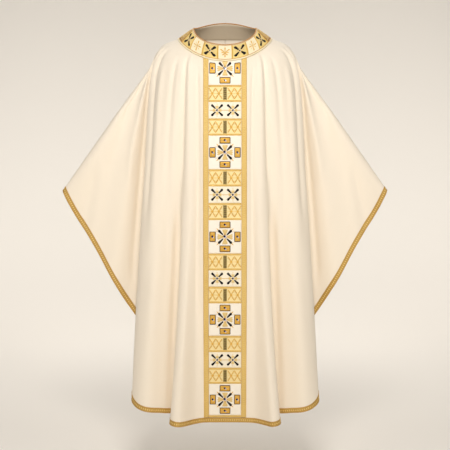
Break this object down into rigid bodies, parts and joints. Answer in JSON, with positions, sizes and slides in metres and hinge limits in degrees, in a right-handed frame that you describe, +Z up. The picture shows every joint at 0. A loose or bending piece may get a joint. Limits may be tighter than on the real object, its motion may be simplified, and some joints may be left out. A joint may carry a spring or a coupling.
{
  "type": "chasuble",
  "caption": "Wide sleeveless over-garment with side wings, a stiff conical collar, embroidered centre bands and gold braid edges, shaped as it hangs on a wearer.",
  "frame": {"origin": "middle of the neck between the two shoulder crests, at neck level", "axes": "+Z up, the front faces -Y, +X to the right of someone facing the front"},
  "size_m": [1.1158, 0.3372, 1.3649],
  "materials": {
    "panel_cloth": "matt cream woven polyester cloth, soft folds",
    "facing_cloth": "matt cream plain-weave facing",
    "collar_brocade": "cream and pale gold brocade over a stiff core",
    "rust_piping": "red-brown twisted cord",
    "cream_piping": "pale yellow corded piping",
    "band_field": "cream brocade with gold thread",
    "gold_braid": "woven gold braid, satin metallic yarn",
    "gold_embroidery": "raised gold thread embroidery",
    "black_satin_stitch": "raised black satin stitch",
    "beaded_bar": "khaki thread ground with dark beads",
    "dark_crystal": "faceted dark blue crystal, foil backed"
  },
  "bodies": {
    "root": {"back_band": "band_field", "back_band_braid_left": "gold_braid", "back_band_braid_right": "gold_braid", "back_cross_1": "gold_embroidery", "back_cross_2": "gold_embroidery", "back_cross_3": "gold_embroidery", "back_cross_4": "gold_embroidery", "back_cross_5": "gold_embroidery", "back_edge_braid": "gold_braid", "back_panel_left": "panel_cloth", "back_panel_right": "panel_cloth", "back_twin_cross_1": "black_satin_stitch", "back_twin_cross_2": "black_satin_stitch", "back_twin_cross_3": "black_satin_stitch", "back_twin_cross_4": "black_satin_stitch", "collar": "collar_brocade", "collar_cross_inner_left": "black_satin_stitch", "collar_cross_inner_right": "black_satin_stitch", "collar_cross_outer_left": "black_satin_stitch", "collar_cross_outer_right": "black_satin_stitch", "collar_inner_piping": "rust_piping", "collar_outer_piping": "cream_piping", "collar_star": "gold_embroidery", "front_band": "band_field", "front_band_braid_left": "gold_braid", "front_band_braid_right": "gold_braid", "front_bar_1a": "beaded_bar", "front_bar_1b": "beaded_bar", "front_bar_2a": "beaded_bar", "front_bar_2b": "beaded_bar", "front_bar_3a": "beaded_bar", "front_bar_3b": "beaded_bar", "front_bar_4a": "beaded_bar", "front_bar_4b": "beaded_bar", "front_cross_1": "gold_embroidery", "front_cross_2": "gold_embroidery", "front_cross_3": "gold_embroidery", "front_cross_4": "gold_embroidery", "front_cross_5": "gold_embroidery", "front_edge_braid": "gold_braid", "front_panel_left": "panel_cloth", "front_panel_right": "panel_cloth", "front_stone_1": "dark_crystal", "front_stone_2": "dark_crystal", "front_stone_3": "dark_crystal", "front_stone_4": "dark_crystal", "front_stone_5": "dark_crystal", "front_twin_cross_1": "black_satin_stitch", "front_twin_cross_2": "black_satin_stitch", "front_twin_cross_3": "black_satin_stitch", "front_twin_cross_4": "black_satin_stitch", "neck_facing": "facing_cloth"}
  },
  "joints": []
}
